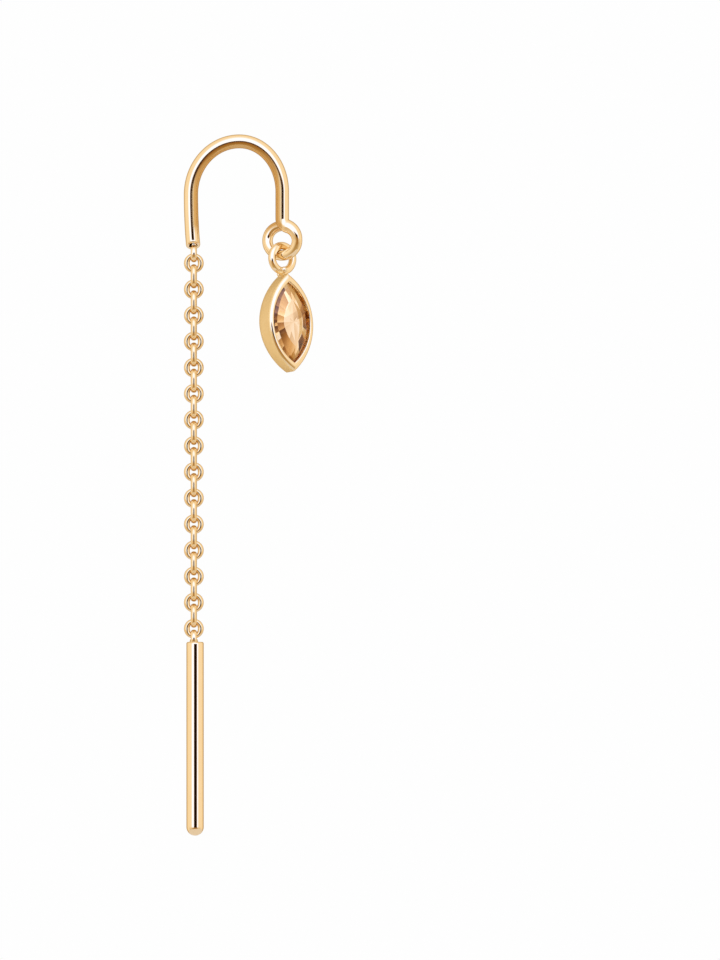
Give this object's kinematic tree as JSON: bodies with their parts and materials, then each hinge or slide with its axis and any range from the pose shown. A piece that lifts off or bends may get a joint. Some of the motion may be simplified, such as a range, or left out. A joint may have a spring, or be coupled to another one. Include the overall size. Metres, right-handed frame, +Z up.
{
  "type": "threader earring",
  "caption": "Threader earring: an arched ear hook with a fine link chain ending in a slim round bar, and a marquise drop that swings from its end loop.",
  "frame": {"origin": "underside of the hook's crown, where it rests on the ear's piercing", "axes": "+Z up along the hanging chain, +X from the chain's leg to the drop's leg, -Y towards the viewer of the picture"},
  "size_m": [0.0075, 0.0026, 0.0403],
  "materials": {
    "gold": "polished 14 karat yellow gold, a little worn",
    "stone": "cut and polished champagne stone"
  },
  "bodies": {
    "hook_and_chain": {"ear_hook": "gold", "chain_link_01": "gold", "chain_link_02": "gold", "chain_link_03": "gold", "chain_link_04": "gold", "chain_link_05": "gold", "chain_link_06": "gold", "chain_link_07": "gold", "chain_link_08": "gold", "chain_link_09": "gold", "chain_link_10": "gold", "chain_link_11": "gold", "chain_link_12": "gold", "chain_link_13": "gold", "chain_link_14": "gold", "chain_link_15": "gold", "chain_link_16": "gold", "chain_link_17": "gold", "chain_link_18": "gold", "chain_link_19": "gold", "chain_link_20": "gold", "chain_link_21": "gold", "chain_link_22": "gold", "chain_link_23": "gold", "chain_link_24": "gold", "chain_link_25": "gold", "chain_link_26": "gold", "chain_link_27": "gold", "chain_link_28": "gold", "chain_link_29": "gold", "threader_bar": "gold"},
    "drop": {"drop_setting": "gold", "stone": "stone"}
  },
  "joints": [
    {"name": "drop_swing", "type": "hinge", "parent": "hook_and_chain", "child": "drop", "pos_m": [0.00246, 0.0003, -0.00613], "axis": [0.8525, -0.5227, 0], "range_deg": [-85, 85]}
  ]
}
